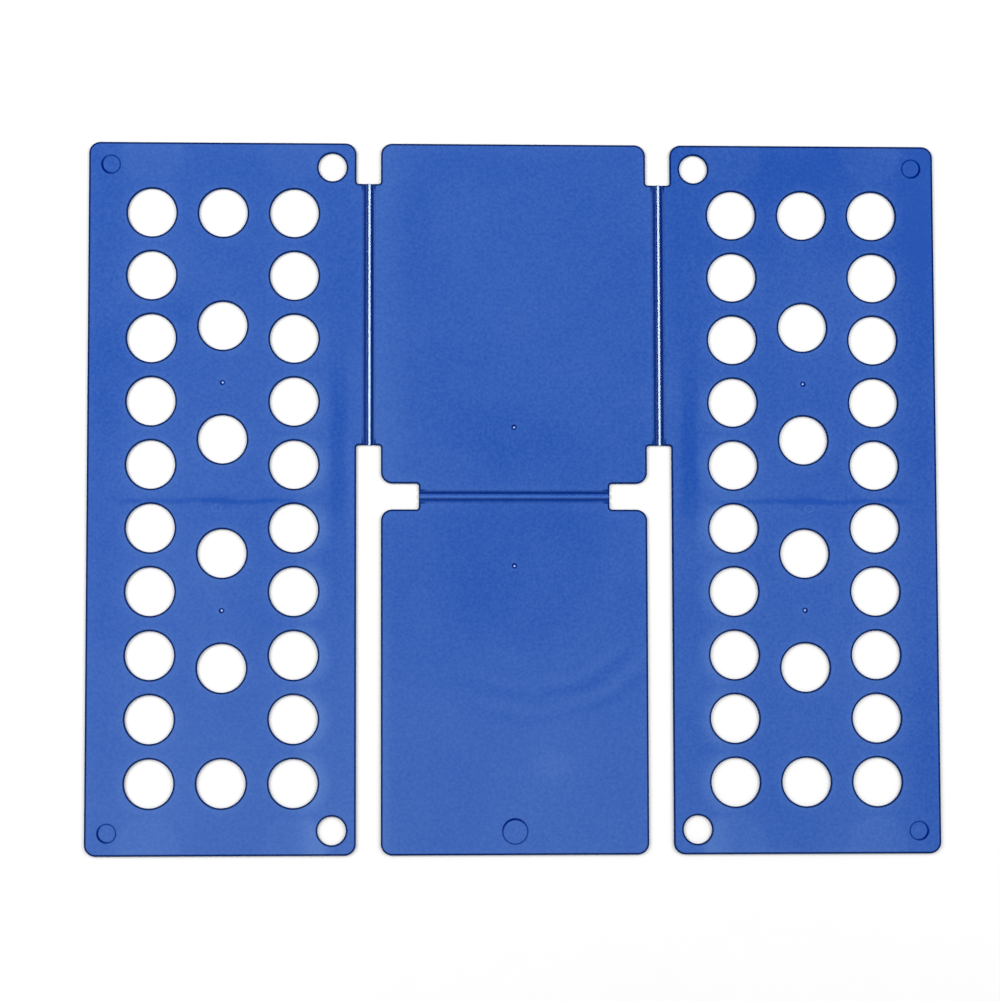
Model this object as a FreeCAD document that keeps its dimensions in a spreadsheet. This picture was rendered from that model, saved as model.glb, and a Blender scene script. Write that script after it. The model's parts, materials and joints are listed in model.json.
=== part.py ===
import FreeCAD, Part
import os

import Sketcher

# Shirt folding board: a thin moulded plastic sheet in four panels. The left, right and lower
# panels fold up and over the centre panel. Each fold line is a rounded spine held between two
# thin flexible webs, so that one panel can lie flat on another.
#
# Frame, in millimetres: the board lies flat with its underside on z = 0 and +Z up. The origin
# is under the middle of the board, +X is to the right and +Y is towards the shirt's collar.

DRIVING_SIZES = {
    # the whole sheet
    "board_width": 677.0,
    "board_length": 567.0,
    "sheet_thickness": 1.8,
    "corner_radius": 9.0,
    "slot_radius": 2.0,
    "rim_radius": 0.35,
    # the two side folds, and the slots that carry on past their ends
    "side_fold_offset": 115.8,
    "side_fold_middle": 145.8,
    "side_fold_length": 210.0,
    "side_slot": 19.6,
    # the cross fold between the centre panel and the lower flap, and its slots
    "cross_fold_length": 151.8,
    "cross_slot": 20.6,
    # a fold's cross-section
    "spine_width": 4.0,
    "spine_rise": 0.2,
    "spine_shoulder": 0.6,
    "web_width": 2.3,
    "web_thickness": 0.4,
    "web_level": 0.95,
    "web_dip": 0.4,
    "web_end_gap": 0.5,
    # air holes in the side panels: two full columns and a sparser one between them
    "vent_radius": 19.2,
    "vent_column": 288.2,
    "vent_column_pitch": 56.6,
    "vent_row_pitch": 50.4,
    "vent_rows": 10,
    "vent_middle_rows": 6,
    # hanging holes at the side panels' inner corners
    "hang_radius": 11.2,
    "hang_across": 144.7,
    "hang_along": 264.0,
    # shallow round marks that the mould leaves in the top face
    "mark_groove": 0.7,
    "mark_depth": 0.3,
    "mark_radius": 7.6,
    "mark_across": 321.0,
    "mark_along": 265.5,
    "disc_radius": 10.2,
    "disc_along": 265.0,
    "gate_radius": 2.0,
    "gate_groove": 1.2,
    "gate_across": 231.6,
    "side_gate_along": 90.6,
    "centre_gate_along": 55.3,
}

SMALL = 0.01

# Levels and edges that several pieces share, as expressions on the sheet.
HALF_LENGTH = "Size.board_length / 2"
HALF_WIDTH = "Size.board_width / 2"
CENTRE_EDGE = "(Size.side_fold_offset - Size.side_slot / 2)"
SIDE_EDGE = "(Size.side_fold_offset + Size.side_slot / 2)"
FOLD_HALF = "(Size.spine_width / 2 + Size.web_width)"
WEB_OFFSET = "((Size.spine_width + Size.web_width) / 2)"
FOLD_TOP = "(Size.side_fold_middle + Size.side_fold_length / 2)"
FOLD_FOOT = "(Size.side_fold_middle - Size.side_fold_length / 2)"
CROSS_HALF = "(Size.cross_fold_length / 2)"
CROSS_EDGE = "(Size.cross_slot / 2)"


def add_sizes(document):
    """The spreadsheet whose cells drive every sub-part."""
    sheet = document.addObject("Spreadsheet::Sheet", "Size")
    for row, (name, size) in enumerate(DRIVING_SIZES.items(), start=1):
        sheet.set(f"A{row}", name)
        sheet.set(f"B{row}", str(size))
        sheet.setAlias(f"B{row}", name)
    document.recompute()


def size(owner, expression):
    """The number that an expression on the sheet gives now."""
    return float(owner.evalExpression(expression))


def point(owner, across, up):
    return FreeCAD.Vector(size(owner, across), size(owner, up), 0)


def add_body(document, label):
    body = document.addObject("PartDesign::Body", label)
    body.Label = label
    return body


def origin_item(body, role):
    """One of the body's own origin planes or axes."""
    return next(item for item in body.Origin.OriginFeatures if item.Role == role)


# ------------------------------------------------------------------------------ sketches


def add_sketch(body, name, plane):
    sketch = body.newObject("Sketcher::SketchObject", name)
    sketch.AttachmentSupport = [(origin_item(body, plane), "")]
    sketch.MapMode = "FlatFace"
    return sketch


def bind(sketch, kind, references, expression):
    """A size constraint that an expression sets."""
    value = size(sketch, expression)
    number = sketch.addConstraint(Sketcher.Constraint(kind, *references, value))
    sketch.setExpression(f"Constraints[{number}]", expression)


def tie_point(sketch, geometry, end, across, up):
    """Places one point of a line, arc or circle from the sketch's origin."""
    if across == "0":
        sketch.addConstraint(Sketcher.Constraint("PointOnObject", geometry, end, -2))
    else:
        bind(sketch, "DistanceX", (-1, 1, geometry, end), across)
    bind(sketch, "DistanceY", (-1, 1, geometry, end), up)


def add_rectangle(sketch, left, right, low, high):
    corners = [
        point(sketch, left, low),
        point(sketch, right, low),
        point(sketch, right, high),
        point(sketch, left, high),
    ]
    sides = []
    for start, end in zip(corners, corners[1:] + corners[:1]):
        sides.append(sketch.addGeometry(Part.LineSegment(start, end)))
    for side, following in zip(sides, sides[1:] + sides[:1]):
        sketch.addConstraint(Sketcher.Constraint("Coincident", side, 2, following, 1))
    for number, side in enumerate(sides):
        level = "Vertical" if number % 2 else "Horizontal"
        sketch.addConstraint(Sketcher.Constraint(level, side))
    tie_point(sketch, sides[0], 1, left, low)
    tie_point(sketch, sides[2], 1, right, high)


def add_circle(sketch, across, up, radius):
    outline = Part.Circle(
        point(sketch, across, up), FreeCAD.Vector(0, 0, 1), size(sketch, radius)
    )
    circle = sketch.addGeometry(outline)
    bind(sketch, "Radius", (circle,), radius)
    tie_point(sketch, circle, 3, across, up)


def add_ring(sketch, across, up, radius, groove):
    """The outline of a round groove: two circles on one centre."""
    add_circle(sketch, across, up, radius)
    add_circle(sketch, across, up, f"{radius} - {groove}")


def add_crown(sketch, half_width, ends, peak):
    """An arc across the section, symmetric about its middle."""
    arc = sketch.addGeometry(
        Part.Arc(
            point(sketch, f"-{half_width}", ends),
            point(sketch, "0", peak),
            point(sketch, half_width, ends),
        )
    )
    rise = f"abs({peak} - ({ends}))"
    bind(sketch, "Radius", (arc,), f"({half_width} ^ 2 + {rise} ^ 2) / (2 * {rise})")
    return arc


def add_crowned_section(sketch, half_width, lower, upper):
    """A closed section with an arc below and above and upright sides between them.

    lower and upper each give the level of the arc's ends and the level of its peak.
    """
    arcs = [add_crown(sketch, half_width, *level) for level in (lower, upper)]
    for across in (f"-{half_width}", half_width):
        foot = point(sketch, across, lower[0])
        head = point(sketch, across, upper[0])
        side = sketch.addGeometry(Part.LineSegment(foot, head))
        tie_point(sketch, side, 1, across, lower[0])
        tie_point(sketch, side, 2, across, upper[0])
        for arc, end, corner in ((arcs[0], 1, foot), (arcs[1], 2, head)):
            arc_end = 1 if sketch.getPoint(arc, 1).isEqual(corner, SMALL) else 2
            sketch.addConstraint(Sketcher.Constraint("Coincident", arc, arc_end, side, end))


# ------------------------------------------------------------------------------ features


def add_pad(body, name, sketch, length, both_ways=False):
    pad = body.newObject("PartDesign::Pad", name)
    pad.Profile = sketch
    pad.Midplane = both_ways
    pad.setExpression("Length", length)
    body.Document.recompute()
    return pad


def add_hole(body, name, sketch):
    """A cut from the underside right through the sheet."""
    before = body.Shape.Volume
    pocket = body.newObject("PartDesign::Pocket", name)
    pocket.Profile = sketch
    pocket.Type = "ThroughAll"
    pocket.Reversed = True
    return settle_cut(body, pocket, before)


def add_groove(body, name, sketch):
    """A shallow cut from the top face down."""
    before = body.Shape.Volume
    sketch.setExpression("AttachmentOffset.Base.z", "Size.sheet_thickness")
    pocket = body.newObject("PartDesign::Pocket", name)
    pocket.Profile = sketch
    pocket.setExpression("Length", "Size.mark_depth")
    return settle_cut(body, pocket, before)


def settle_cut(body, cut, before):
    """Makes a cut or a pattern of cuts the body's result, and checks that it leaves less volume."""
    body.Tip = cut
    body.Document.recompute()
    if body.Shape.Volume > before - SMALL:
        raise RuntimeError(f"{body.Label}: {cut.Name} cuts nothing")
    return cut


def repeat_down(body, name, cut, count):
    """Repeats a cut from its first row at the collar end to the last row at the foot."""
    before = body.Shape.Volume
    pattern = body.newObject("PartDesign::LinearPattern", name)
    pattern.Originals = [cut]
    pattern.Direction = (origin_item(body, "Y_Axis"), [""])
    pattern.Reversed = True
    pattern.setExpression("Occurrences", count)
    pattern.setExpression("Length", "(Size.vent_rows - 1) * Size.vent_row_pitch")
    return settle_cut(body, pattern, before)


def repeat_at_foot(body, name, cuts):
    """Mirrors cuts from the collar end of the panel to its foot."""
    before = body.Shape.Volume
    mirrored = body.newObject("PartDesign::Mirrored", name)
    mirrored.Originals = cuts
    mirrored.MirrorPlane = (origin_item(body, "XZ_Plane"), [""])
    return settle_cut(body, mirrored, before)


def round_edges(body, name, is_wanted, radius):
    """Rounds those edges of the body so far that pass the test."""
    base = body.Tip
    edges = enumerate(base.Shape.Edges, start=1)
    wanted = [f"Edge{number}" for number, edge in edges if is_wanted(edge)]
    if not wanted:
        raise RuntimeError(f"{body.Label}: {name} finds no edge")
    fillet = body.newObject("PartDesign::Fillet", name)
    fillet.Base = (base, wanted)
    fillet.setExpression("Radius", radius)
    body.Document.recompute()
    return fillet


def round_corners(body, name, corners, radius):
    """Rounds the sheet's upright edges at the given places."""
    places = [point(body, across, up) for across, up in corners]

    def is_corner(edge):
        box = edge.BoundBox
        if box.XLength + box.YLength > SMALL:
            return False
        foot = FreeCAD.Vector(box.XMin, box.YMin, 0)
        return any(foot.distanceToPoint(place) < SMALL for place in places)

    return round_edges(body, name, is_corner, radius)


def round_rim(body):
    """Rounds every edge where the sheet's top face and underside end."""
    top = size(body, "Size.sheet_thickness")

    def is_rim(edge):
        box = edge.BoundBox
        return box.ZLength < SMALL and min(abs(box.ZMin), abs(box.ZMin - top)) < SMALL

    return round_edges(body, "RoundedRim", is_rim, "Size.rim_radius")


# ------------------------------------------------------------------------------ panels


def add_panel(document, label, plate, tabs, corners, slot_corners):
    """A flat panel: a plate, and the tabs that carry it out to its folds."""
    body = add_body(document, label)
    for number, outline in enumerate([plate] + tabs):
        name = f"Tab{number}" if number else "Plate"
        sketch = add_sketch(body, f"{name}Outline", "XY_Plane")
        add_rectangle(sketch, *outline)
        add_pad(body, name, sketch, "Size.sheet_thickness")
    round_corners(body, "PanelCorners", corners, "Size.corner_radius")
    round_corners(body, "SlotCorners", slot_corners, "Size.slot_radius")
    return body


def add_gate_mark(body, across, along):
    """The small round groove left round the point where the mould was filled."""
    sketch = add_sketch(body, "GateOutline", "XY_Plane")
    add_ring(sketch, across, along, "Size.gate_radius", "Size.gate_groove")
    return add_groove(body, "GateMark", sketch)


def add_vents(body, mirror):
    first_row = "(Size.vent_rows - 1) / 2 * Size.vent_row_pitch"
    columns = [
        ("Outer", "Size.vent_column", "Size.vent_rows"),
        ("Inner", "(Size.vent_column - 2 * Size.vent_column_pitch)", "Size.vent_rows"),
        ("Middle", "(Size.vent_column - Size.vent_column_pitch)", "Size.vent_middle_rows"),
    ]
    for name, across, count in columns:
        sketch = add_sketch(body, f"{name}VentOutline", "XY_Plane")
        add_circle(sketch, f"{mirror} * {across}", first_row, "Size.vent_radius")
        vent = add_hole(body, f"{name}Vent", sketch)
        repeat_down(body, f"{name}Vents", vent, count)


def add_hanging_holes(body, mirror):
    sketch = add_sketch(body, "HangingHoleOutline", "XY_Plane")
    across = f"{mirror} * Size.hang_across"
    add_circle(sketch, across, "Size.hang_along", "Size.hang_radius")
    hole = add_hole(body, "HangingHole", sketch)
    repeat_at_foot(body, "HangingHoles", [hole])


def add_side_marks(body, mirror):
    """A round ejector mark at each outer corner, and two gate marks."""
    sketch = add_sketch(body, "CornerMarkOutline", "XY_Plane")
    across = f"{mirror} * Size.mark_across"
    add_ring(sketch, across, "Size.mark_along", "Size.mark_radius", "Size.mark_groove")
    corner_mark = add_groove(body, "CornerMark", sketch)
    gate_mark = add_gate_mark(body, f"{mirror} * Size.gate_across", "Size.side_gate_along")
    repeat_at_foot(body, "FootMarks", [corner_mark, gate_mark])


def add_side_panel(document, label, mirror):
    """A side panel; mirror is "1" for the right side of the board and "-1" for the left."""
    inner = f"{mirror} * {SIDE_EDGE}"
    outer = f"{mirror} * {HALF_WIDTH}"
    fold = f"{mirror} * (Size.side_fold_offset + {FOLD_HALF})"
    behind = f"{mirror} * ({SIDE_EDGE} + Size.side_slot)"
    body = add_panel(
        document,
        label,
        plate=(inner, outer, f"-{HALF_LENGTH}", HALF_LENGTH),
        tabs=[(fold, behind, FOLD_FOOT, FOLD_TOP)],
        corners=[(x, f"{end}{HALF_LENGTH}") for x in (inner, outer) for end in ("", "-")],
        slot_corners=[(inner, FOLD_TOP), (inner, FOLD_FOOT)],
    )
    add_vents(body, mirror)
    round_rim(body)
    add_hanging_holes(body, mirror)
    add_side_marks(body, mirror)
    return body


def add_centre_panel(document):
    fold = f"(Size.side_fold_offset - {FOLD_HALF})"
    above = f"({CROSS_EDGE} + Size.cross_slot)"
    edges = (f"-{CENTRE_EDGE}", CENTRE_EDGE)
    body = add_panel(
        document,
        "centre_panel",
        plate=(*edges, CROSS_EDGE, HALF_LENGTH),
        tabs=[
            (f"-{fold}", fold, FOLD_FOOT, FOLD_TOP),
            (f"-{CROSS_HALF}", CROSS_HALF, FOLD_HALF, above),
        ],
        corners=[(x, y) for x in edges for y in (CROSS_EDGE, HALF_LENGTH)],
        slot_corners=[(x, y) for x in edges for y in (FOLD_FOOT, FOLD_TOP)]
        + [(f"-{CROSS_HALF}", CROSS_EDGE), (CROSS_HALF, CROSS_EDGE)],
    )
    round_rim(body)
    add_gate_mark(body, "0", "Size.centre_gate_along")
    return body


def add_lower_flap(document):
    edges = (f"-{CENTRE_EDGE}", CENTRE_EDGE)
    top = f"-{CROSS_EDGE}"
    foot = f"-{HALF_LENGTH}"
    body = add_panel(
        document,
        "lower_flap",
        plate=(*edges, foot, top),
        tabs=[(f"-{CROSS_HALF}", CROSS_HALF, f"{top} - Size.cross_slot", f"-{FOLD_HALF}")],
        corners=[(x, y) for x in edges for y in (foot, top)],
        slot_corners=[(f"-{CROSS_HALF}", top), (CROSS_HALF, top)],
    )
    round_rim(body)
    add_gate_mark(body, "0", "-Size.centre_gate_along")
    sketch = add_sketch(body, "DiscMarkOutline", "XY_Plane")
    add_ring(sketch, "0", "-Size.disc_along", "Size.disc_radius", "Size.mark_groove")
    add_groove(body, "DiscMark", sketch)
    return body


# ------------------------------------------------------------------------------ folds


def add_strip(document, label, section, length, place, turn):
    """A strip of one cross-section along a fold, drawn along Y, then turned and placed."""
    body = add_body(document, label)
    sketch = add_sketch(body, "Section", "XZ_Plane")
    add_crowned_section(sketch, *section)
    add_pad(body, "Strip", sketch, length, both_ways=True)
    body.Placement.Rotation = FreeCAD.Rotation(FreeCAD.Vector(0, 0, 1), turn)
    body.setExpression("Placement.Base.x", place[0])
    body.setExpression("Placement.Base.y", place[1])
    return body


def add_spine(document, label, length, place, turn):
    """The rounded bar along the middle of a fold, level with the underside."""
    top = "Size.sheet_thickness"
    section = (
        "(Size.spine_width / 2)",
        ("Size.spine_shoulder", "0"),
        (f"{top} - Size.spine_shoulder", f"{top} + Size.spine_rise"),
    )
    return add_strip(document, label, section, length, place, turn)


def add_web(document, label, length, place, turn):
    """The thin film that joins a spine to a panel; it sags a little so that it can fold."""
    low = "(Size.web_level - Size.web_thickness / 2)"
    high = "(Size.web_level + Size.web_thickness / 2)"
    section = (
        "(Size.web_width / 2)",
        (low, f"({low} - Size.web_dip)"),
        (high, f"({high} - Size.web_dip)"),
    )
    return add_strip(document, label, section, f"{length} - 2 * Size.web_end_gap", place, turn)


def add_side_fold(document, side, mirror):
    """The spine and the two webs of one side fold."""
    length = "Size.side_fold_length"
    places = {
        "inner_web": f"{mirror} * (Size.side_fold_offset - {WEB_OFFSET})",
        "outer_web": f"{mirror} * (Size.side_fold_offset + {WEB_OFFSET})",
        "spine": f"{mirror} * Size.side_fold_offset",
    }
    pieces = []
    for name, across in places.items():
        add_piece = add_spine if name == "spine" else add_web
        place = (across, "Size.side_fold_middle")
        pieces.append(add_piece(document, f"{side}_{name}", length, place, turn=0))
    return pieces


def add_cross_fold(document):
    """The spine and the two webs between the centre panel and the lower flap."""
    length = "Size.cross_fold_length"
    quarter = 90
    return [
        add_web(document, "lower_inner_web", length, ("0", WEB_OFFSET), quarter),
        add_web(document, "lower_outer_web", length, ("0", f"-{WEB_OFFSET}"), quarter),
        add_spine(document, "lower_spine", length, ("0", "0"), quarter),
    ]


# ------------------------------------------------------------------------------ the board


def check(document, pieces):
    """Stops if an object failed to build or a piece has no sound solid."""
    for item in document.Objects:
        if "Invalid" in item.State or "Error" in item.State:
            raise RuntimeError(f"{item.Name} failed: {item.State}")
    for piece in pieces:
        if piece.Shape.isNull() or not piece.Shape.isValid() or len(piece.Shape.Solids) != 1:
            raise RuntimeError(f"{piece.Label} is not one sound solid")


def export(pieces):
    os.makedirs("parts", exist_ok=True)
    for piece in pieces:
        piece.Shape.exportStep(f"parts/{piece.Label}.step")


def main():
    document = FreeCAD.newDocument("FoldingBoard")
    add_sizes(document)
    pieces = [
        add_centre_panel(document),
        add_lower_flap(document),
        add_side_panel(document, "left_panel", "-1"),
        add_side_panel(document, "right_panel", "1"),
        *add_side_fold(document, "left", "-1"),
        *add_side_fold(document, "right", "1"),
        *add_cross_fold(document),
    ]
    document.recompute()
    check(document, pieces)
    export(pieces)


main()
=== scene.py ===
"""Looks of the shirt folding board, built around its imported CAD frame. Lengths are in metres."""

import json
import math

import bmesh
import bpy
import numpy as np
from mathutils import Matrix, Quaternion, Vector
from mathutils.geometry import delaunay_2d_cdt


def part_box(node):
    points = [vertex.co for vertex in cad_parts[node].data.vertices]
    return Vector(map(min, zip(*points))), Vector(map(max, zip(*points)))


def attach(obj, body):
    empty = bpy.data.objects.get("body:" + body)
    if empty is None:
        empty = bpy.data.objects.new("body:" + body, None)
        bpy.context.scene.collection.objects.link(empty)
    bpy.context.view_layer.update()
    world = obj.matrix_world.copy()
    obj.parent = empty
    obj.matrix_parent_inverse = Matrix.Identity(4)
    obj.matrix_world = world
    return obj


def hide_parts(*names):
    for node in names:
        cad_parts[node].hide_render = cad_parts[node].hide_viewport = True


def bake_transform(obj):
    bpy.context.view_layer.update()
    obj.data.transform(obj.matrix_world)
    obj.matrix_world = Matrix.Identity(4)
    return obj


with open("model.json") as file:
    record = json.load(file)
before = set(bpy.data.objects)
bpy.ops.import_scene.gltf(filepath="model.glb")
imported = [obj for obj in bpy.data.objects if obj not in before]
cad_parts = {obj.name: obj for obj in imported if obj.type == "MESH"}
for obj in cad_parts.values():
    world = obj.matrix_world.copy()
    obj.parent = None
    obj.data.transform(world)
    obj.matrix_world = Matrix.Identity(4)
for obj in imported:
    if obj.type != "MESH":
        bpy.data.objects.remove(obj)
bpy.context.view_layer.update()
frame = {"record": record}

MM = 0.001

# Outline of the sheet
CORNER_RADIUS = 9.0 * MM
SLOT_RADIUS = 2.0 * MM
TAB_RADIUS = 0.5 * MM
SIDE_SLOT = 19.6 * MM
CROSS_SLOT = 20.6 * MM
RIM_RADIUS = 0.35 * MM

# Air holes: full columns outside and inside, a sparser one between them
VENT_RADIUS = 19.2 * MM
VENT_COLUMNS = ((175.0 * MM, 10), (231.6 * MM, 6), (288.2 * MM, 10))
VENT_REACH = 226.8 * MM

# Shallow round marks that the mould leaves in the top face. A gate is where the plastic flowed in.
# A shadow is the direction in which a mark has the most painted shade. Where a mark's groove leaves
# a radius of less than MARK_INSIDE, the bands inside it are squeezed to fit.
MARK_DEPTH = 0.3 * MM
MARK_GROOVE = 0.7 * MM
CORNER_MARK = (321.0 * MM, 265.5 * MM, 7.6 * MM)
CORNER_SHADOW = (0.9, -0.45)
DISC_MARK = (0.0, -265.0 * MM, 10.2 * MM)
DISC_SHADOW = (-0.3, 0.95)
MARK_INSIDE = 2.2 * MM
GATE_RADIUS = 2.0 * MM
GATE_GROOVE = 1.2 * MM
SIDE_GATE = (231.6 * MM, 90.6 * MM)
CENTRE_GATE = (0.0, 55.3 * MM)

# Fold section
CROWN = {"left": 8.0 * MM, "right": 8.0 * MM, "lower": 3.9 * MM}
SHOULDER = 0.45 * MM
KEEL = 0.6 * MM
SAME_PLACE = 0.01 * MM
END_RADIUS = 0.25 * MM
WEB_THICKNESS = 0.4 * MM
WEB_DIP = 0.4 * MM
WEB_TUCK = 0.12 * MM
WEB_STEPS = 12
WEB_STATIONS = 40

# Painted shade on a fold: where a bead's sides meet, how a film's painted shade fades towards its
# panel, the painted dark ends
RIDGE = 0.3 * MM
WEB_FADE = 0.9 * MM
WEB_FADE_START = 0.1
END_BAND = 0.8 * MM
END_PAINTED_SHADE = 0.95

# Painted shade on each part of a fold, for how light falls in its grooves: the bead's low and high
# side, then the films
BEAD_PAINTED_SHADE = {"left": (0.75, 0.8), "right": (0.8, 0.85), "lower": (0.45, 0.1)}
FILM_PAINTED_SHADE = {
    "left_inner": 0.85,
    "left_outer": 0.7,
    "right_inner": 0.7,
    "right_outer": 0.85,
    "lower_inner": 0.8,
    "lower_outer": 0.6,
}

# Painted shade and painted highlight along a rim, as bands of inset, dark (painted shade) and pale
# (painted highlight); the shade is fainter where the rim runs on into a film
RIM_BANDS = ((1.1 * MM, 0.95, 0.0), (1.7 * MM, 0.05, 0.5))
BAND = 2.2 * MM
BAND_PAINTED_HIGHLIGHT = 0.25
UNDERSIDE_RIM_SHADE = 0.4
SEAM_RIM_SHADE = 0.15
SEAM_REACH = 0.1 * MM

# Mesh density
EDGE_STEP = 6.0 * MM
FACE_STEP = 9.0 * MM
HALO = 3.6 * MM
ARC_STEPS = 4
CORNER_STEPS = 12
TINY_CORNER_STEPS = 6
HOLE_SEGMENTS = 72
MARK_SEGMENTS = 48


# ------------------------------------------------------------------ outlines


class OutlinePoint:
    """A point on a panel's edge, and how it moves when the outline shrinks into the sheet.

    It moves against its normal as far as the corner's radius, bend, and then along the mitre.
    exposed scales the rim's painted shade: 1 on a free edge, and less where the edge runs on into a
    film.
    """

    def __init__(self, place, normal, bend=math.inf, mitre=(0.0, 0.0)):
        self.place = np.array(place)
        self.normal = np.array(normal)
        self.bend = bend
        self.mitre = np.array(mitre)
        self.exposed = 1.0

    def inset(self, depth):
        shrunk = self.place - self.normal * min(depth, self.bend)
        return shrunk - self.mitre * max(0.0, depth - self.bend)


def unit(vector):
    return vector / np.linalg.norm(vector)


def corner_arc(before, corner, after, radius):
    """The outline's points round one corner; the sheet lies to the left of the path."""
    arriving = unit(corner - before)
    leaving = unit(after - corner)
    left_turn = arriving[0] * leaving[1] - arriving[1] * leaving[0] > 0
    half = math.acos(np.clip(arriving @ leaving, -1, 1)) / 2
    inward = unit(leaving - arriving)
    centre = corner + inward * radius / math.cos(half)
    start = corner - arriving * radius * math.tan(half) - centre
    end = corner + leaving * radius * math.tan(half) - centre
    steps = TINY_CORNER_STEPS if radius < 1 * MM else CORNER_STEPS
    side = 1 if left_turn else -1
    points = []
    for step in range(steps + 1):
        share = step / steps
        spoke = unit(start * math.sin((1 - share) * 2 * half) + end * math.sin(share * 2 * half))
        bend = radius if left_turn else math.inf
        mitre = -inward / math.cos(half) if left_turn else (0.0, 0.0)
        points.append(OutlinePoint(centre + spoke * radius, spoke * side, bend, mitre))
    return points


def rounded_outline(corners):
    """A closed outline from (x, y, radius) corners, anticlockwise, with long sides divided."""
    places = [np.array(corner[:2]) for corner in corners]
    count = len(corners)
    arcs = [
        corner_arc(places[i - 1], places[i], places[(i + 1) % count], corners[i][2])
        for i in range(count)
    ]
    points = []
    for i, arc in enumerate(arcs):
        points += arc
        start, end = arc[-1], arcs[(i + 1) % count][0]
        length = np.linalg.norm(end.place - start.place)
        parts = max(1, int(length / EDGE_STEP))
        for part in range(1, parts):
            place = start.place + (end.place - start.place) * part / parts
            points.append(OutlinePoint(place, start.normal))
    return points


def round_hole(x, y, radius):
    """A hole's edge, clockwise, so that the sheet lies to the left of the path."""
    points = []
    for i in range(HOLE_SEGMENTS):
        angle = -2 * math.pi * i / HOLE_SEGMENTS
        spoke = np.array((math.cos(angle), math.sin(angle)))
        points.append(OutlinePoint(np.array((x, y)) + spoke * radius, -spoke))
    return points


def is_inside(place, starts, ends):
    """True if the place is on the sheet: then the number of edges to its right is odd."""
    (x, y), (x0, y0), (x1, y1) = place, starts.T, ends.T
    crossed = (y0 > y) != (y1 > y)
    reach = x0[crossed] + (y - y0[crossed]) / (y1 - y0)[crossed] * (x1 - x0)[crossed]
    return np.count_nonzero(reach > x) % 2 == 1


# ------------------------------------------------------------------ sheet meshes

# Attributes that the plastics read: painted shade on rims and fold ends, painted shade in hollows
# and folds, painted highlight, and the whitened plastic of a torn gate, which also paints its glint
SHADES = ("dark", "deep", "pale", "white")


def set_shade(mesh, label, values):
    shade = mesh.attributes.new(label, "FLOAT", "POINT")
    shade.data.foreach_set("value", values)


class SheetMesh:
    """Gathers the vertices and faces of a flat moulded panel, with shading attributes."""

    def __init__(self):
        self.places = []
        self.normals = []
        self.shades = []
        self.faces = []

    def add(self, place, normal, **shades):
        """One vertex; shades are its values of the attributes in SHADES, 0 where not given."""
        self.places.append(tuple(place))
        self.normals.append(tuple(normal))
        self.shades.append(shades)
        return len(self.places) - 1

    def add_loop(self, points, depth, z, lean, dark, pale=0.0):
        """One ring of the rim; points that the inset brings together share a vertex."""
        ring = []
        last_key, last_index = None, None
        for point in points:
            x, y = point.inset(depth)
            key = (round(x, 7), round(y, 7))
            if key != last_key:
                normal = (*(point.normal * math.cos(lean)), math.sin(lean))
                last_key = key
                last_index = self.add((x, y, z), normal, dark=dark * point.exposed, pale=pale)
            ring.append(last_index)
        return ring

    def bridge(self, upper, lower):
        """Faces between two rings with the same points, the first of them higher or inward."""
        count = len(upper)
        for i in range(count):
            j = (i + 1) % count
            corners = []
            for index in (upper[i], lower[i], lower[j], upper[j]):
                if index not in corners:
                    corners.append(index)
            if len(corners) > 2:
                self.faces.append(corners)

    def fill(self, rings, z, facing):
        """Triangles between closed rings, on an even grid of inner points."""
        index_of = []
        flat = []
        edges = []
        for ring in rings:
            unique = list(dict.fromkeys(ring))
            first = len(flat)
            index_of += unique
            flat += [Vector(self.places[i][:2]) for i in unique]
            edges += [(first + i, first + (i + 1) % len(unique)) for i in range(len(unique))]
        edge_places = np.array([tuple(p) for p in flat])
        starts, ends = (edge_places[[edge[end] for edge in edges]] for end in (0, 1))
        low, high = edge_places.min(0), edge_places.max(0)
        xs = np.arange(low[0] + FACE_STEP / 2, high[0], FACE_STEP)
        ys = np.arange(low[1] + FACE_STEP / 2, high[1], FACE_STEP)
        for row, y in enumerate(ys):
            shift = FACE_STEP / 4 if row % 2 else -FACE_STEP / 4
            for x in xs + shift:
                if np.min(np.sum((edge_places - (x, y)) ** 2, axis=1)) > (FACE_STEP / 2) ** 2:
                    flat.append(Vector((x, y)))
                    index_of.append(None)
        places, _, triangles, sources, _, _ = delaunay_2d_cdt(flat, edges, [], 1, 1e-7)
        indices = []
        for place, source in zip(places, sources):
            index = index_of[source[0]] if source else None
            if index is None:
                index = ("new", place.x, place.y)
            indices.append(index)
        for triangle in triangles:
            middle = sum((places[i] for i in triangle), Vector((0, 0))) / 3
            if not is_inside(middle, starts, ends):
                continue
            corners = []
            for i in triangle:
                if isinstance(indices[i], tuple):
                    _, x, y = indices[i]
                    indices[i] = self.add((x, y, z), (0, 0, facing))
                corners.append(indices[i])
            self.faces.append(corners if facing > 0 else corners[::-1])

    def make(self, name):
        mesh = bpy.data.meshes.new(name)
        mesh.from_pydata(self.places, [], self.faces)
        for label in SHADES:
            set_shade(mesh, label, [shades.get(label, 0.0) for shades in self.shades])
        mesh.polygons.foreach_set("use_smooth", [True] * len(mesh.polygons))
        mesh.validate()
        mesh.normals_split_custom_set_from_vertices(self.normals)
        piece = bpy.data.objects.new(name, mesh)
        bpy.context.scene.collection.objects.link(piece)
        return piece


def rim_section(top):
    """The rim from the top face round to the underside: inset, height, lean and painted shade."""
    upper = []
    for step in range(ARC_STEPS + 1):
        lean = math.pi / 2 * (1 - step / ARC_STEPS)
        inset = RIM_RADIUS * (1 - math.cos(lean))
        height = top - RIM_RADIUS * (1 - math.sin(lean))
        upper.append((inset, height, lean, 1.0))
    lower = [(inset, top - height, -lean, dark) for inset, height, lean, dark in reversed(upper)]
    return upper + lower


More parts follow.
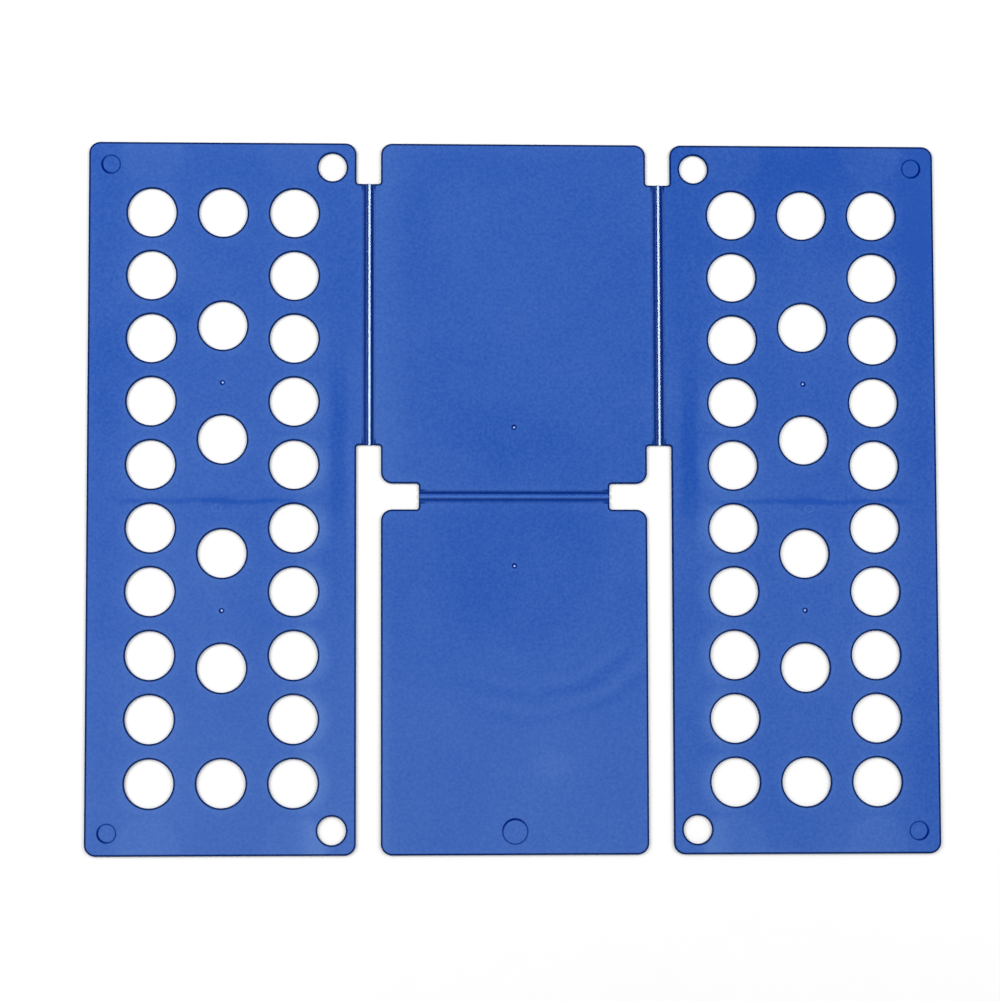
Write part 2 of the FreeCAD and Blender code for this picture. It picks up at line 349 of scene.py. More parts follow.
def add_rim(sheet, points, top, halo=0.0):
    """The rounded edge along one outline. Returns its innermost rings, top and bottom."""
    rings = [sheet.add_loop(points, *step) for step in rim_section(top)]
    flat = math.pi / 2
    # Bands of painted shade and painted highlight inside the rim
    bands = [*RIM_BANDS, (BAND, 0.0, BAND_PAINTED_HIGHLIGHT)]
    if halo:
        bands.append((halo, 0.0, 0.0))
    for inset, dark, pale in bands:
        rings.insert(0, sheet.add_loop(points, inset, top, flat, dark, pale))
        rings.append(sheet.add_loop(points, inset, 0.0, -flat, dark * UNDERSIDE_RIM_SHADE))
    for upper, lower in zip(rings, rings[1:]):
        sheet.bridge(upper, lower)
    return rings[0], rings[-1]


def add_mark(sheet, x, y, radius, groove, top, shadow):
    """A shallow round groove in the top face. Returns its outer and inner rings.

    The groove has painted shade, most and widest towards shadow, with painted highlight inside it
    there. The torn stub of a gate is whitened, which also paints in the glint on it.
    """
    soft = groove * 0.3
    floor = top - MARK_DEPTH
    inner = radius - groove
    share = min(1.0, inner / MARK_INSIDE)
    white = 0.0 if share == 1.0 else 1.0
    # radius, level, slope, painted shade all round, painted shade and painted highlight towards the
    # shadow, white
    section = [
        (radius + 0.6 * MM, top, 0.0, 0.0, 0.0, 0.0, 0.0),
        (radius + 0.2 * MM, top, 0.0, 0.45, 0.4, 0.0, 0.0),
        (radius - soft, floor, 0.4, 0.7, 0.3, 0.0, 0.0),
        (inner + soft, floor, -0.4, 0.7, 0.3, 0.0, 0.0),
        (inner, top, 0.0, 0.45, 0.5, 0.0, 0.0),
        (inner - 0.5 * MM * share, top, 0.0, 0.0, 0.9, 0.0, white),
        (inner - 1.1 * MM * share, top, 0.0, 0.0, 0.0, 0.7, white),
        (inner - 1.8 * MM * share, top, 0.0, 0.0, 0.0, 0.2, white),
    ]
    rings = []
    for ring_radius, z, slope, deep, shadow_deep, glow, whiteness in section:
        ring = []
        for i in range(MARK_SEGMENTS):
            angle = -2 * math.pi * i / MARK_SEGMENTS
            spoke = Vector((math.cos(angle), math.sin(angle), 0))
            place = Vector((x, y, z)) + spoke * ring_radius
            normal = (Vector((0, 0, 1)) - spoke * slope).normalized()
            facing = max(0.0, spoke.x * shadow[0] + spoke.y * shadow[1])
            depth = deep + shadow_deep * facing
            ring.append(sheet.add(place, normal, deep=depth, pale=glow * facing, white=whiteness))
        rings.append(ring)
    for upper, lower in zip(rings, rings[1:]):
        sheet.bridge(upper, lower)
    return rings[0], rings[-1]


def make_panel(name, corners, seams, holes=(), marks=()):
    """A panel from its outline, its through holes and the grooves in its top face.

    seams are the (low, high) boxes of the edges that run on into a film, where the rim's painted
    shade is faint.
    """
    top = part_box(name)[1].z
    sheet = SheetMesh()
    tops, undersides, discs = [], [], []
    outline = rounded_outline(corners)
    for point in outline:
        if any(np.all(point.place >= low) and np.all(point.place <= high) for low, high in seams):
            point.exposed = SEAM_RIM_SHADE
    edges = [(outline, 0.0)]
    edges += [(round_hole(x, y, radius), halo) for x, y, radius, halo in holes]
    for points, halo in edges:
        upper, lower = add_rim(sheet, points, top, halo)
        tops.append(upper)
        undersides.append(lower)
    for x, y, radius, groove, shadow in marks:
        outer, inner = add_mark(sheet, x, y, radius, groove, top, shadow)
        tops.append(outer)
        discs.append(inner)
    sheet.fill(tops, top, 1)
    sheet.fill(undersides, 0.0, -1)
    for disc in discs:
        sheet.fill([disc], top, 1)
    piece = sheet.make(f"{name}_sheet")
    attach(piece, name)
    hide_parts(name)
    return piece


def seam_box(start, end):
    """The (low, high) box round an edge, short of its rounded ends."""
    low = np.minimum(start, end)
    high = np.maximum(start, end)
    shrink = np.where(high > low, END_BAND, -SEAM_REACH)
    return low + shrink, high - shrink


def mirrored(corners):
    return [(-x, y, radius) for x, y, radius in reversed(corners)]


def make_side_panel(name, side):
    """side is 1 for the right of the board and -1 for the left."""
    low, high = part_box(name)
    fold_low, fold_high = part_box(name.replace("panel", "spine"))
    fold_middle = abs(fold_low.x + fold_high.x) / 2
    plate_edge = fold_middle + SIDE_SLOT / 2
    tab_edge, outer = sorted((abs(low.x), abs(high.x)))
    corners = [
        (plate_edge, low.y, CORNER_RADIUS),
        (outer, low.y, CORNER_RADIUS),
        (outer, high.y, CORNER_RADIUS),
        (plate_edge, high.y, CORNER_RADIUS),
        (plate_edge, fold_high.y, SLOT_RADIUS),
        (tab_edge, fold_high.y, TAB_RADIUS),
        (tab_edge, fold_low.y, TAB_RADIUS),
        (plate_edge, fold_low.y, SLOT_RADIUS),
    ]
    holes = []
    for across, rows in VENT_COLUMNS:
        for along in np.linspace(-VENT_REACH, VENT_REACH, rows):
            holes.append((side * across, along, VENT_RADIUS, HALO))
    for mount in frame["record"]["mounts"]:
        x, y, _ = mount["pos_m"]
        if mount["kind"] == "bore" and x * side > 0:
            holes.append((x, y, mount["dims"]["r_mm"] * MM, 0.0))
    marks = []
    for end in (1, -1):
        x, y, radius = CORNER_MARK
        shadow = (side * CORNER_SHADOW[0], CORNER_SHADOW[1])
        marks.append((side * x, end * y, radius, MARK_GROOVE, shadow))
        marks.append((side * SIDE_GATE[0], end * SIDE_GATE[1], GATE_RADIUS, GATE_GROOVE, shadow))
    seam = seam_box((side * tab_edge, fold_low.y), (side * tab_edge, fold_high.y))
    return make_panel(name, corners if side > 0 else mirrored(corners), [seam], holes, marks)


def make_centre_panel():
    low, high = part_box("centre_panel")
    fold_low, fold_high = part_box("right_spine")
    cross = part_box("lower_spine")[1].x
    edge = (fold_low.x + fold_high.x) / 2 - SIDE_SLOT / 2
    foot = CROSS_SLOT / 2
    right = [
        (cross, low.y, TAB_RADIUS),
        (cross, foot, SLOT_RADIUS),
        (edge, foot, CORNER_RADIUS),
        (edge, fold_low.y, SLOT_RADIUS),
        (high.x, fold_low.y, TAB_RADIUS),
        (high.x, fold_high.y, TAB_RADIUS),
        (edge, fold_high.y, SLOT_RADIUS),
        (edge, high.y, CORNER_RADIUS),
    ]
    marks = [(*CENTRE_GATE, GATE_RADIUS, GATE_GROOVE, DISC_SHADOW)]
    seams = [seam_box((x, fold_low.y), (x, fold_high.y)) for x in (low.x, high.x)]
    seams.append(seam_box((-cross, low.y), (cross, low.y)))
    return make_panel("centre_panel", right + mirrored(right), seams, marks=marks)


def make_lower_flap():
    low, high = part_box("lower_flap")
    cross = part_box("lower_spine")[1].x
    right = [
        (high.x, low.y, CORNER_RADIUS),
        (high.x, -CROSS_SLOT / 2, CORNER_RADIUS),
        (cross, -CROSS_SLOT / 2, SLOT_RADIUS),
        (cross, high.y, TAB_RADIUS),
    ]
    marks = [
        (CENTRE_GATE[0], -CENTRE_GATE[1], GATE_RADIUS, GATE_GROOVE, DISC_SHADOW),
        (*DISC_MARK, MARK_GROOVE, DISC_SHADOW),
    ]
    seams = [seam_box((-cross, high.y), (cross, high.y))]
    return make_panel("lower_flap", right + mirrored(right), seams, marks=marks)


# ------------------------------------------------------------------ folds


def spine_section(half_width, top, crown):
    """The bead's cross-section as (across, height, lean).

    It is round below, and has a low crown on soft shoulders above.
    """
    slope = math.asin((half_width - SHOULDER) / (crown - SHOULDER))
    shoulder_level = top - crown + (crown - SHOULDER) * math.cos(slope)
    keel = (half_width**2 + KEEL**2) / (2 * KEEL)
    spread = math.asin(half_width / keel)
    arcs = [
        (0.0, keel, keel, -math.pi / 2, spread - math.pi / 2),
        (half_width - SHOULDER, shoulder_level, SHOULDER, 0.0, math.pi / 2 - slope),
        (0.0, top - crown, crown, math.pi / 2 - slope, math.pi / 2),
    ]
    right = []
    for across, height, radius, start, end in arcs:
        for step in range(ARC_STEPS + 1):
            lean = start + (end - start) * step / ARC_STEPS
            place = (across + radius * math.cos(lean), height + radius * math.sin(lean))
            if not right or math.dist(place, right[-1][:2]) > SAME_PLACE:
                right.append((*place, lean))
    left = [(-across, height, math.pi - lean) for across, height, lean in reversed(right[1:-1])]
    return right + left


def make_spine(side):
    """The stiff bead in the middle of a fold, with rounded ends."""
    name = f"{side}_spine"
    low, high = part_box(name)
    middle = (low + high) / 2
    along_y = high.y - low.y > high.x - low.x
    half_width = min(high.x - low.x, high.y - low.y) / 2
    half_length = max(high.x - low.x, high.y - low.y) / 2
    section = spine_section(half_width, high.z, CROWN[side])
    stations = []
    for step in range(ARC_STEPS + 1):
        tilt = math.pi / 2 * (1 - step / ARC_STEPS)
        gap = END_RADIUS * (1 - math.sin(tilt))
        inset = END_RADIUS * (1 - math.cos(tilt))
        stations.append((gap - half_length, inset, -tilt))
    stations.append((END_BAND - half_length, 0.0, 0.0))
    stations.append((END_BAND * 1.5 - half_length, 0.0, 0.0))
    stations += [(-along, inset, -tilt) for along, inset, tilt in reversed(stations)]
    sheet = SheetMesh()
    rings = []
    for along, inset, tilt in stations:
        ring = []
        for across, height, lean in section:
            out = Vector((math.cos(lean), 0, math.sin(lean)))
            place = Vector((across, along, height)) - out * inset
            normal = out * math.cos(tilt) + Vector((0, math.sin(tilt), 0))
            if not along_y:
                place = Vector((-place.y, place.x, place.z))
                normal = Vector((-normal.y, normal.x, normal.z))
            at_end = half_length - abs(along) < END_BAND
            # Painted shade on the bead's sides, for how light falls on them, and at its dark ends
            deep = 0.0 if at_end else np.interp(across, (-RIDGE, RIDGE), BEAD_PAINTED_SHADE[side])
            place = (place.x + middle.x, place.y + middle.y, place.z)
            ring.append(sheet.add(place, normal, deep=deep, dark=END_PAINTED_SHADE * at_end))
        rings.append(ring)
    for first, second in zip(rings, rings[1:]):
        sheet.bridge(first, second)
    sheet.faces.append(rings[0])
    sheet.faces.append(rings[-1][::-1])
    piece = sheet.make(f"{name}_bead")
    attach(piece, name)
    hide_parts(name)
    return piece


def make_web(name, inner_body, spine):
    """The thin film between a spine and a panel. It sags, so it can bend as the fold closes."""
    low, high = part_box(name)
    along_y = high.y - low.y > high.x - low.x
    start, end = sorted((low.x, high.x) if along_y else (low.y, high.y), key=abs)
    spine_low, spine_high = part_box(spine)
    first, last = (spine_low.y, spine_high.y) if along_y else (spine_low.x, spine_high.x)
    direction = math.copysign(1, end - start)
    # The cross fold's inner film starts at the centre panel, on the edge farther from the origin.
    if not along_y and name.endswith("inner_web"):
        start, end = end, start
        direction = -direction
    width = abs(end - start)
    tops, bottoms = [], []
    for step in range(-1, WEB_STEPS + 2):
        share = min(max(step / WEB_STEPS, 0.0), 1.0)
        reach = share * width
        if step < 0:
            reach -= WEB_TUCK
        elif step > WEB_STEPS:
            reach += WEB_TUCK
        top = high.z - WEB_DIP * (1 - (2 * share - 1) ** 2)
        tops.append((start + direction * reach, top))
        bottoms.append((start + direction * reach, top - WEB_THICKNESS))
    section = tops + bottoms[::-1]
    places, faces, dark, deep = [], [], [], []
    count = len(section)
    panel_edge = start if inner_body != spine else end
    head = [first, first + END_BAND, first + END_BAND * 1.5]
    tail = [first + last - along for along in reversed(head)]
    stations = [*head, *np.linspace(first, last, WEB_STATIONS)[1:-1], *tail]
    for along in stations:
        at_end = min(along - first, last - along) < END_BAND * 1.2
        for across, height in section:
            places.append((across, along, height) if along_y else (along, across, height))
            # Painted shade in the film's groove, fading towards its panel, and at its dark ends
            fade = np.interp(abs(across - panel_edge), (0.0, WEB_FADE), (WEB_FADE_START, 1.0))
            deep.append(0.0 if at_end else fade * FILM_PAINTED_SHADE[name.removesuffix("_web")])
            dark.append(END_PAINTED_SHADE * at_end)
    for station in range(len(stations) - 1):
        for i in range(count):
            j = (i + 1) % count
            a, b = station * count, (station + 1) * count
            faces.append((a + i, a + j, b + j, b + i))
    last_ring = (len(stations) - 1) * count
    steps = len(tops) - 1
    for base, flip in ((0, 1), (last_ring, -1)):
        for i in range(steps):
            quad = [base + i, base + count - 1 - i, base + count - 2 - i, base + i + 1]
            faces.append(quad[::flip])
    mesh = bpy.data.meshes.new(name)
    mesh.from_pydata(places, [], faces)
    mesh.polygons.foreach_set("use_smooth", [True] * len(mesh.polygons))
    mesh.validate()
    tidy = bmesh.new()
    tidy.from_mesh(mesh)
    bmesh.ops.recalc_face_normals(tidy, faces=tidy.faces)
    tidy.to_mesh(mesh)
    tidy.free()
    mesh.set_sharp_from_angle(angle=math.radians(50))
    set_shade(mesh, "dark", dark)
    set_shade(mesh, "deep", deep)
    piece = bpy.data.objects.new(f"{name}_film", mesh)
    bpy.context.scene.collection.objects.link(piece)
    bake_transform(piece)
    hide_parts(name)
    return piece


def make_fold(side):
    """One fold: its bead, the film next to the centre panel and the one next to the moving panel."""
    spine = f"{side}_spine"
    inner = make_web(f"{side}_inner_web", "centre_panel", spine)
    outer = make_web(f"{side}_outer_web", spine, spine)
    return [make_spine(side), inner, outer]


# ------------------------------------------------------------------ shader arithmetic


class Value:
    """A number at every point of a surface: written as arithmetic, kept as shader nodes."""

    def __init__(self, tree, socket):
        self.tree = tree
        self.socket = socket

    def apply(self, operation, *others):
        node = self.tree.nodes.new("ShaderNodeMath")
        node.operation = operation
        for slot, item in zip(node.inputs, (self, *others)):
            connect(self.tree, item, slot)
        return Value(self.tree, node.outputs[0])

    def __add__(self, other):
        return self.apply("ADD", other)

    def __sub__(self, other):
        return self.apply("SUBTRACT", other)

    def __mul__(self, other):
        return self.apply("MULTIPLY", other)

    def __rsub__(self, other):
        return (self * -1) + other

    def __abs__(self):
        return self.apply("ABSOLUTE")

    def rise(self, low, high):
        """0 up to low, 1 from high on, and a smooth step between them."""
        node = self.tree.nodes.new("ShaderNodeMapRange")
        node.interpolation_type = "SMOOTHSTEP"
        connect(self.tree, self, node.inputs["Value"])
        node.inputs["From Min"].default_value = low
        node.inputs["From Max"].default_value = high
        return Value(self.tree, node.outputs["Result"])

    def fall(self, low, high):
        return 1 - self.rise(low, high)


def connect(tree, item, slot):
    if isinstance(item, Value):
        tree.links.new(item.socket, slot)
    else:
        slot.default_value = item


def distance(across, along):
    return (across * across + along * along).apply("SQRT")


def noise(place, scale, detail=2.0, distortion=0.0):
    """Noise centred on 0, about -0.5 to 0.5, with features of about 1 / scale metres."""
    node = place.tree.nodes.new("ShaderNodeTexNoise")
    place.tree.links.new(place.socket, node.inputs["Vector"])
    node.inputs["Scale"].default_value = scale
    node.inputs["Detail"].default_value = detail
    node.inputs["Distortion"].default_value = distortion
    return Value(place.tree, node.outputs["Fac"]) - 0.5


def attribute(tree, name):
    node = tree.nodes.new("ShaderNodeAttribute")
    node.attribute_name = name
    return Value(tree, node.outputs["Fac"])


def blend_colour(tree, share, first, second):
    """A mix of two colours; each is a colour or a colour socket."""
    node = tree.nodes.new("ShaderNodeMix")
    node.data_type = "RGBA"
    node.clamp_factor = True
    connect(tree, share, node.inputs["Factor"])
    colour_slots = [slot for slot in node.inputs if slot.type == "RGBA"]
    for item, slot in zip((first, second), colour_slots):
        if isinstance(item, bpy.types.NodeSocket):
            tree.links.new(item, slot)
        else:
            slot.default_value = (*item, 1.0)
    return [slot for slot in node.outputs if slot.type == "RGBA"][0]


# ------------------------------------------------------------------ plastics

# A panel's blue lies between deep (tone 0) and pale (tone 1)
DEEP_BLUE = (0.000, 0.066, 0.395)
PALE_BLUE = (0.078, 0.185, 0.530)
# Painted shade: the first colour darkens rims and fold ends, the second hollows, folds and marks
PAINTED_RIM_SHADE = (0.001, 0.009, 0.070)
SHADOW_BLUE = (0.000, 0.010, 0.150)
# Whitened plastic of a torn gate, which also paints in the glint on its stub
WHITENED_AND_GLINT = (0.450, 0.640, 0.900)
MOTTLE = 0.60
CLOUDS = 0.35
PAINTED_HIGHLIGHT_LIFT = 0.22
RIM_SHADE_STRENGTH = 0.92
BUMP_HEIGHT = 0.06 * MM

# Roughness, then the specular level on open surfaces and where rims and hollows have painted shade
PANEL_FINISH = (0.34, 0.35, 0.0)
BEAD_FINISH = (0.08, 0.35, 0.35)
FILM_FINISH = (0.40, 0.10, 0.0)
FOLD_TONE = 0.28

# Places of the moulding marks and the painted sheen, across and along the board
WELD_LEVEL = -4 * MM
WELD_WANDER = 7 * MM
KNOT_ACROSS = 232 * MM
SEAM_ACROSS = 140 * MM
SCRATCH = (236 * MM, -9.5 * MM, 3.6 * MM)
CENTRE_CLOUD = (-8 * MM, 48 * MM)
FLAP_DISC = (2 * MM, -50 * MM)
SHEEN_CENTRE = (12 * MM, -46 * MM)
SHEEN_RADIUS = 122 * MM
SHEEN_WAVE = 20 * MM
FLAP_PATCH = (30 * MM, -213 * MM)


def plastic(name, tone_of, base_tone, finish):
    """Injection-moulded blue plastic. tone_of adds a panel's own moulding marks and painted sheen to
    the base tone.
    """
    roughness, shine, dark_shine = finish
    material = bpy.data.materials.new(name)
    material.use_nodes = True
    tree = material.node_tree
    shader = tree.nodes["Principled BSDF"]
    coordinates = tree.nodes.new("ShaderNodeTexCoord")
    place = Value(tree, coordinates.outputs["Object"])
    split = tree.nodes.new("ShaderNodeSeparateXYZ")
    tree.links.new(place.socket, split.inputs[0])
    x, y = (Value(tree, split.outputs[axis]) for axis in ("X", "Y"))

    mottle = noise(place, 420, 4.0)
    clouds = noise(place, 9, 3.0, 0.6)
    pale = attribute(tree, "pale")
    dark = attribute(tree, "dark")
    deep = attribute(tree, "deep")
    marks_and_sheen = tone_of(x, y, place)
    # The pale attribute adds painted highlight: halos inside rims and a lighter patch inside marks
    tone = marks_and_sheen + base_tone + mottle * MOTTLE + clouds * CLOUDS + pale * PAINTED_HIGHLIGHT_LIFT
    colour = blend_colour(tree, tone, DEEP_BLUE, PALE_BLUE)
    # Painted shade in the hollows of folds and marks
    colour = blend_colour(tree, deep, colour, SHADOW_BLUE)
    # Painted shade along rims and at the ends of folds
    colour = blend_colour(tree, dark * RIM_SHADE_STRENGTH, colour, PAINTED_RIM_SHADE)
    # A torn gate's whitened stub, which is also a painted glint
    colour = blend_colour(tree, attribute(tree, "white"), colour, WHITENED_AND_GLINT)
    tree.links.new(colour, shader.inputs["Base Color"])

    satin = (mottle * 0.30 + clouds * 0.24 + 1.0) * roughness
    tree.links.new(satin.socket, shader.inputs["Roughness"])
    gloss = (dark + deep).rise(0.1, 0.6) * (dark_shine - shine) + shine
    tree.links.new(gloss.socket, shader.inputs["Specular IOR Level"])

    grain = noise(place, 2600, 2.0) * 0.6 + noise(place, 900, 2.0) * 0.5
    grain = grain + marks_and_sheen * 0.6
    bump = tree.nodes.new("ShaderNodeBump")
    bump.inputs["Strength"].default_value = 0.35
    bump.inputs["Distance"].default_value = BUMP_HEIGHT
    tree.links.new(grain.socket, bump.inputs["Height"])
    tree.links.new(bump.outputs["Normal"], shader.inputs["Normal"])
    return material


def vent_halo(across, y, column, pitch, reach):
    """1 at the rims of a column of vents, fading out over some millimetres."""
    along = pitch / 2 - y.apply("PINGPONG", pitch / 2)
    return distance(across - column, along).fall(VENT_RADIUS + 1 * MM, VENT_RADIUS + reach)


def side_panel_tone(x, y, place, foot, fold_glow):
    """Halos round the vents, the weld line where two flows met, and marks round the gates.

    The line has a dark knot with a small oval scratch by it. A darker seam runs beside the fold.
    foot is how much paler the low end is, a painted sheen, and fold_glow how pale the halos are next
    to the fold.
    """
    across = abs(x)
    # Painted sheen: the low end is paler
    low_end_sheen = y.fall(-270 * MM, 150 * MM)
    marks_and_sheen = low_end_sheen * foot
    for column, rows in VENT_COLUMNS:
        pitch = 2 * VENT_REACH / (rows - 1)
        marks_and_sheen = vent_halo(across, y, column, pitch, 10 * MM) * 0.10 + marks_and_sheen
    column, rows = VENT_COLUMNS[0]
    glow = vent_halo(across, y, column, 2 * VENT_REACH / (rows - 1), 14 * MM)
    fold_side = across.fall(column - 18 * MM, column + 4 * MM)
    marks_and_sheen = marks_and_sheen + glow * fold_side * y.fall(-40 * MM, 170 * MM) * fold_glow
    outer_edge = across.rise(300 * MM, 334 * MM)
    marks_and_sheen = marks_and_sheen - outer_edge * 0.08
    gate = distance(across - SIDE_GATE[0], abs(y) - SIDE_GATE[1])
    marks_and_sheen = marks_and_sheen + gate.fall(2 * MM, 7 * MM) * 0.12
    wander = noise(place, 22, 1.0) * WELD_WANDER
    gap = abs(y - WELD_LEVEL + wander)
    reach = across.rise(148 * MM, 170 * MM) * across.fall(300 * MM, 325 * MM)
    weld = gap.fall(0.2 * MM, 3.4 * MM) * reach
    knot = distance(across - KNOT_ACROSS, (y - WELD_LEVEL) * 2.5).fall(4 * MM, 22 * MM)
    seam = abs(across - SEAM_ACROSS + wander).fall(3 * MM, 10 * MM)
    seam = seam * y.rise(-45 * MM, 10 * MM) * y.fall(60 * MM, 150 * MM)
    scratch = distance(across - SCRATCH[0], (y - SCRATCH[1]) * 1.4) - SCRATCH[2]
    marks_and_sheen = marks_and_sheen + abs(scratch).fall(0.2 * MM, 1.2 * MM) * 0.22
    return marks_and_sheen - weld * 0.26 - knot * 0.16 - seam * 0.20


def left_panel_tone(x, y, place):
    return side_panel_tone(x, y, place, 0.17, 0.34)


def right_panel_tone(x, y, place):
    """As the left panel, with painted shade, a deeper blue, towards its top."""
    marks_and_sheen = side_panel_tone(x, y, place, 0.10, 0.22)
    return marks_and_sheen - y.rise(120 * MM, 283 * MM) * 0.18 - x.rise(285 * MM, 330 * MM) * 0.06


def centre_panel_tone(x, y, place):
    """Nearly even, with a darker cloud round the gate and a paler left edge."""
    gate = distance(x - CENTRE_GATE[0], y - CENTRE_GATE[1])
    cloud = distance(x - CENTRE_CLOUD[0], (y - CENTRE_CLOUD[1]) * 1.5)
    uneven = noise(place, 30, 3.0) * 40 * MM
    deeper = (cloud + uneven).fall(15 * MM, 65 * MM) * 0.07
    edge = x.fall(-103 * MM, -78 * MM) * 0.12
    return edge + gate.fall(2 * MM, 6 * MM) * 0.08 - deeper


def lower_flap_tone(x, y, place):
    """A darker disc round the gate, curved bands of painted sheen beyond it, and paler places.

    The paler places are a patch, the foot, whose paleness is painted sheen, and the left edge.
    """
    gate = distance(x - CENTRE_GATE[0], y + CENTRE_GATE[1])
    uneven = noise(place, 26, 3.0) * 20 * MM
    disc = (distance(x - FLAP_DISC[0], y - FLAP_DISC[1]) + uneven).fall(46 * MM, 84 * MM)
    # Painted sheen in curved bands beyond the disc
    ring = distance(x - SHEEN_CENTRE[0], y - SHEEN_CENTRE[1]) + noise(place, 30, 2.0) * 12 * MM
    waves = ((ring - SHEEN_RADIUS) * (2 * math.pi / SHEEN_WAVE)).apply("COSINE")
    band = ring.rise(86 * MM, 108 * MM) * ring.fall(124 * MM, 146 * MM)
    band = band * y.fall(-138 * MM, -100 * MM)
    strength = (noise(place, 17, 2.0) * 2.4 + 0.8) * x.rise(-75 * MM, 10 * MM)
    patch = distance((x - FLAP_PATCH[0]) * 0.6, y - FLAP_PATCH[1]).fall(3 * MM, 15 * MM)
    # Painted sheen: paler towards the foot
    foot = y.fall(-200 * MM, -90 * MM)
    marks_and_sheen = waves * band * strength * 0.09 + foot * 0.14 + gate.fall(2 * MM, 6 * MM) * 0.08
    left_edge = x.fall(-104 * MM, -96 * MM) * y.fall(-120 * MM, -40 * MM)
    return marks_and_sheen + patch * 0.10 + left_edge * 0.12 - disc * 0.11


def fold_tone(x, y, place):
    """Fine streaks, the same all along the folds."""
    return noise(place, 160, 2.0) * 0.15


# ------------------------------------------------------------------ studio

COOL_WHITE = (0.72, 0.94, 1.0)
SKY_BLUE = (0.15, 0.40, 1.0)
WORLD_LIGHT = 0.5
FLOOR_REACH = 30.0
FLOOR_LEVEL = -0.05 * MM
FLOOR_GREY = (0.965, 0.965, 0.965)
FLOOR_WHITE = (0.985, 0.985, 0.985)
CAMERA_PLACE = (-0.1288, -0.2007, 2.4886)
CAMERA_AIM = (-0.0109, -0.0030, 0.0)
CAMERA_ROLL = math.radians(0.15)
CAMERA_LENS = 112.97

# Softboxes: place, aim, size and brightness
SOFTBOXES = {
    "left": ((-1.7, 0.5, 1.5), (0.0, 0.0, 0.0), (1.4, 1.4), 4.6),
    "right": ((1.7, 0.5, 1.5), (0.0, 0.0, 0.0), (1.4, 1.4), 3.7),
    "overhead": ((-0.45, -0.50, 2.5), (-0.45, -0.5, 0.0), (0.9, 0.8), 1.0),
}

# Strips that light one bead each: place, size, brightness and colour
BEAD_LIGHTS = {
    "left": ((0.37, 0.56, 3.0), (1.15, 0.9), 34.0, COOL_WHITE),
    "right": ((0.80, 0.56, 3.0), (1.15, 0.9), 34.0, COOL_WHITE),
    "lower": ((0.155, -0.13, 3.0), (0.6, 2.6), 6.0, SKY_BLUE),
}


def seen_by_camera(tree):
    """1 for what the camera sees, and 0 for what only lights the scene."""
    return Value(tree, tree.nodes.new("ShaderNodeLightPath").outputs["Is Camera Ray"])


def make_floor():
    """A plain pale, barely uneven floor. Far from the softboxes a glow keeps it as pale."""
    mesh = bpy.data.meshes.new("floor")
    places = [
        (side_x * FLOOR_REACH, side_y * FLOOR_REACH, FLOOR_LEVEL)
        for side_x, side_y in ((-1, -1), (1, -1), (1, 1), (-1, 1))
    ]
    mesh.from_pydata(places, [], [(0, 1, 2, 3)])
    floor = bpy.data.objects.new("floor", mesh)
    bpy.context.scene.collection.objects.link(floor)
    material = bpy.data.materials.new("floor_paper")
    material.use_nodes = True
    tree = material.node_tree
    shader = tree.nodes["Principled BSDF"]
    coordinates = tree.nodes.new("ShaderNodeTexCoord")
    fleck = noise(Value(tree, coordinates.outputs["Object"]), 40, 3.0)
    colour = blend_colour(tree, fleck + 0.5, FLOOR_GREY, FLOOR_WHITE)
    tree.links.new(colour, shader.inputs["Base Color"])
    shader.inputs["Roughness"].default_value = 0.9
    shader.inputs["Specular IOR Level"].default_value = 0.1
    split = tree.nodes.new("ShaderNodeSeparateXYZ")
    tree.links.new(coordinates.outputs["Object"], split.inputs[0])
    x, y = (Value(tree, split.outputs[axis]) for axis in ("X", "Y"))
    far = distance(x, y).rise(0.8, 3.5) * seen_by_camera(tree)
    shader.inputs["Emission Color"].default_value = (1.0, 1.0, 1.0, 1.0)
    tree.links.new((far * (1.0 - WORLD_LIGHT)).socket, shader.inputs["Emission Strength"])
    mesh.materials.append(material)


def make_light(name, place, aim, size, radiance, colour=(1.0, 1.0, 1.0)):
    """A rectangular softbox. radiance is how bright its face looks; 1 is the white of the floor."""
    data = bpy.data.lights.new(name, "AREA")
    data.shape = "RECTANGLE"
    data.size, data.size_y = size
    data.energy = radiance * math.pi * size[0] * size[1]
    data.color = colour
    light = bpy.data.objects.new(name, data)
    bpy.context.scene.collection.objects.link(light)
    light.location = place
    direction = Vector(aim) - Vector(place)
    light.rotation_euler = direction.to_track_quat("-Z", "Y").to_euler()
    return light


def make_bead_light(side, bead, place, size, radiance, colour):
    """A wide strip overhead that shows only as the highlight along one bead."""
    receivers = bpy.data.collections.new(f"{side}_bead")
    receivers.objects.link(bead)
    light = make_light(f"{side}_bead_light", place, (*place[:2], 0.0), size, radiance, colour)
    light.light_linking.receiver_collection = receivers
    light.visible_diffuse = False


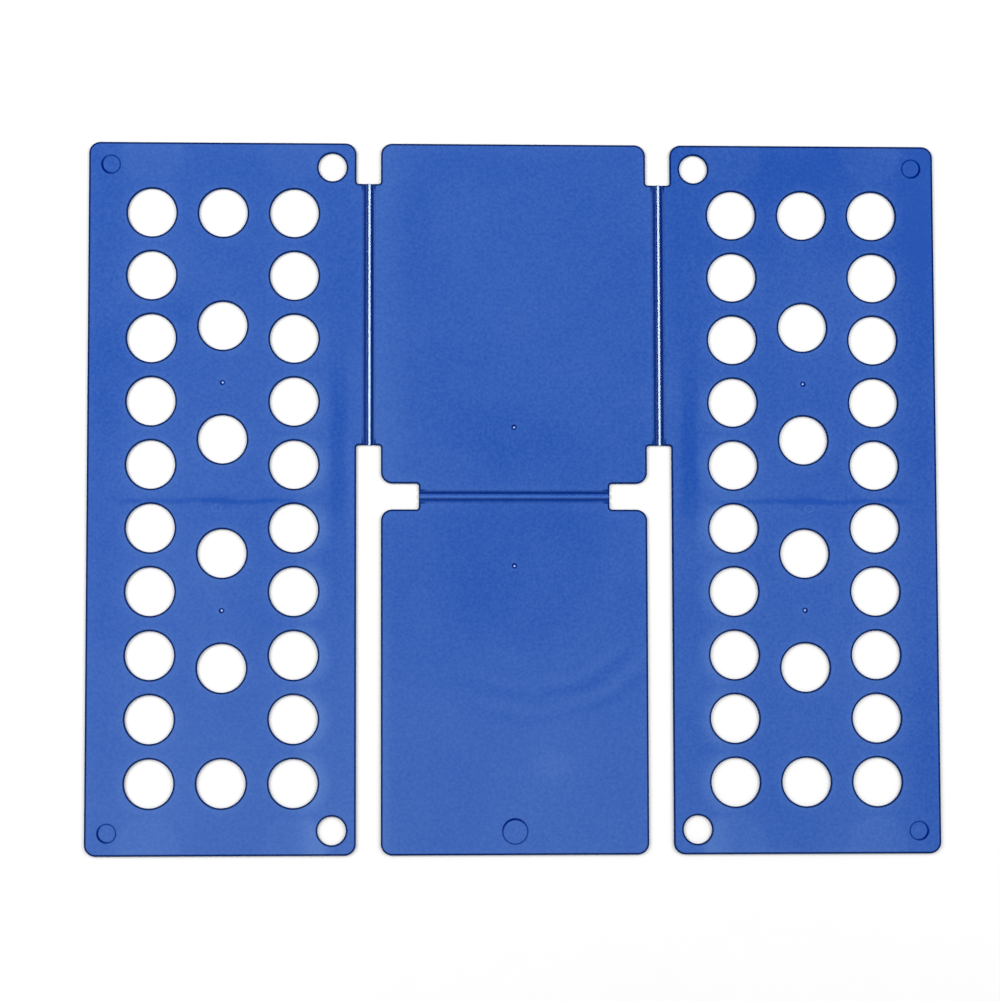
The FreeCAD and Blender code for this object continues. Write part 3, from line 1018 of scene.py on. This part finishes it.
def make_studio(beads):
    """Soft light from both sides, and strips that only the beads of the folds mirror.

    The camera sees the background white, though it lights the board at only WORLD_LIGHT of that.
    """
    world = bpy.data.worlds.new("studio")
    world.use_nodes = True
    tree = world.node_tree
    background = tree.nodes["Background"]
    background.inputs["Color"].default_value = (1.0, 1.0, 1.0, 1.0)
    strength = seen_by_camera(tree) * (1.0 - WORLD_LIGHT) + WORLD_LIGHT
    tree.links.new(strength.socket, background.inputs["Strength"])
    bpy.context.scene.world = world
    for label, softbox in SOFTBOXES.items():
        make_light(f"{label}_softbox", *softbox)
    for side, strip in BEAD_LIGHTS.items():
        make_bead_light(side, beads[side], *strip)
    bpy.context.scene.view_settings.view_transform = "Standard"


def make_camera():
    data = bpy.data.cameras.new("camera")
    data.lens = CAMERA_LENS
    data.sensor_width = 36.0
    data.clip_end = 100.0
    camera = bpy.data.objects.new("camera", data)
    bpy.context.scene.collection.objects.link(camera)
    camera.location = CAMERA_PLACE
    direction = Vector(CAMERA_AIM) - Vector(CAMERA_PLACE)
    right = direction.cross((0, 1, 0)).normalized()
    upward = right.cross(direction).normalized()
    turn = Matrix((right, upward, -direction.normalized())).transposed().to_quaternion()
    camera.rotation_mode = "QUATERNION"
    camera.rotation_quaternion = Quaternion(direction, CAMERA_ROLL) @ turn
    bpy.context.scene.camera = camera


# ------------------------------------------------------------------ the board


panels = {
    "left_panel": make_side_panel("left_panel", -1),
    "right_panel": make_side_panel("right_panel", 1),
    "centre_panel": make_centre_panel(),
    "lower_flap": make_lower_flap(),
}
# Each panel's marks, painted sheen and base tone
tones = {
    "left_panel": (left_panel_tone, 0.25),
    "right_panel": (right_panel_tone, 0.23),
    "centre_panel": (centre_panel_tone, 0.25),
    "lower_flap": (lower_flap_tone, 0.27),
}
for name, piece in panels.items():
    tone_of, base_tone = tones[name]
    piece.data.materials.append(plastic(f"{name}_plastic", tone_of, base_tone, PANEL_FINISH))

bead_plastic = plastic("bead_plastic", fold_tone, FOLD_TONE, BEAD_FINISH)
film_plastic = plastic("film_plastic", fold_tone, FOLD_TONE, FILM_FINISH)
beads = {}
for side in ("left", "right", "lower"):
    bead, *films = make_fold(side)
    bead.data.materials.append(bead_plastic)
    for film in films:
        film.data.materials.append(film_plastic)
    beads[side] = bead

make_floor()
make_studio(beads)
make_camera()
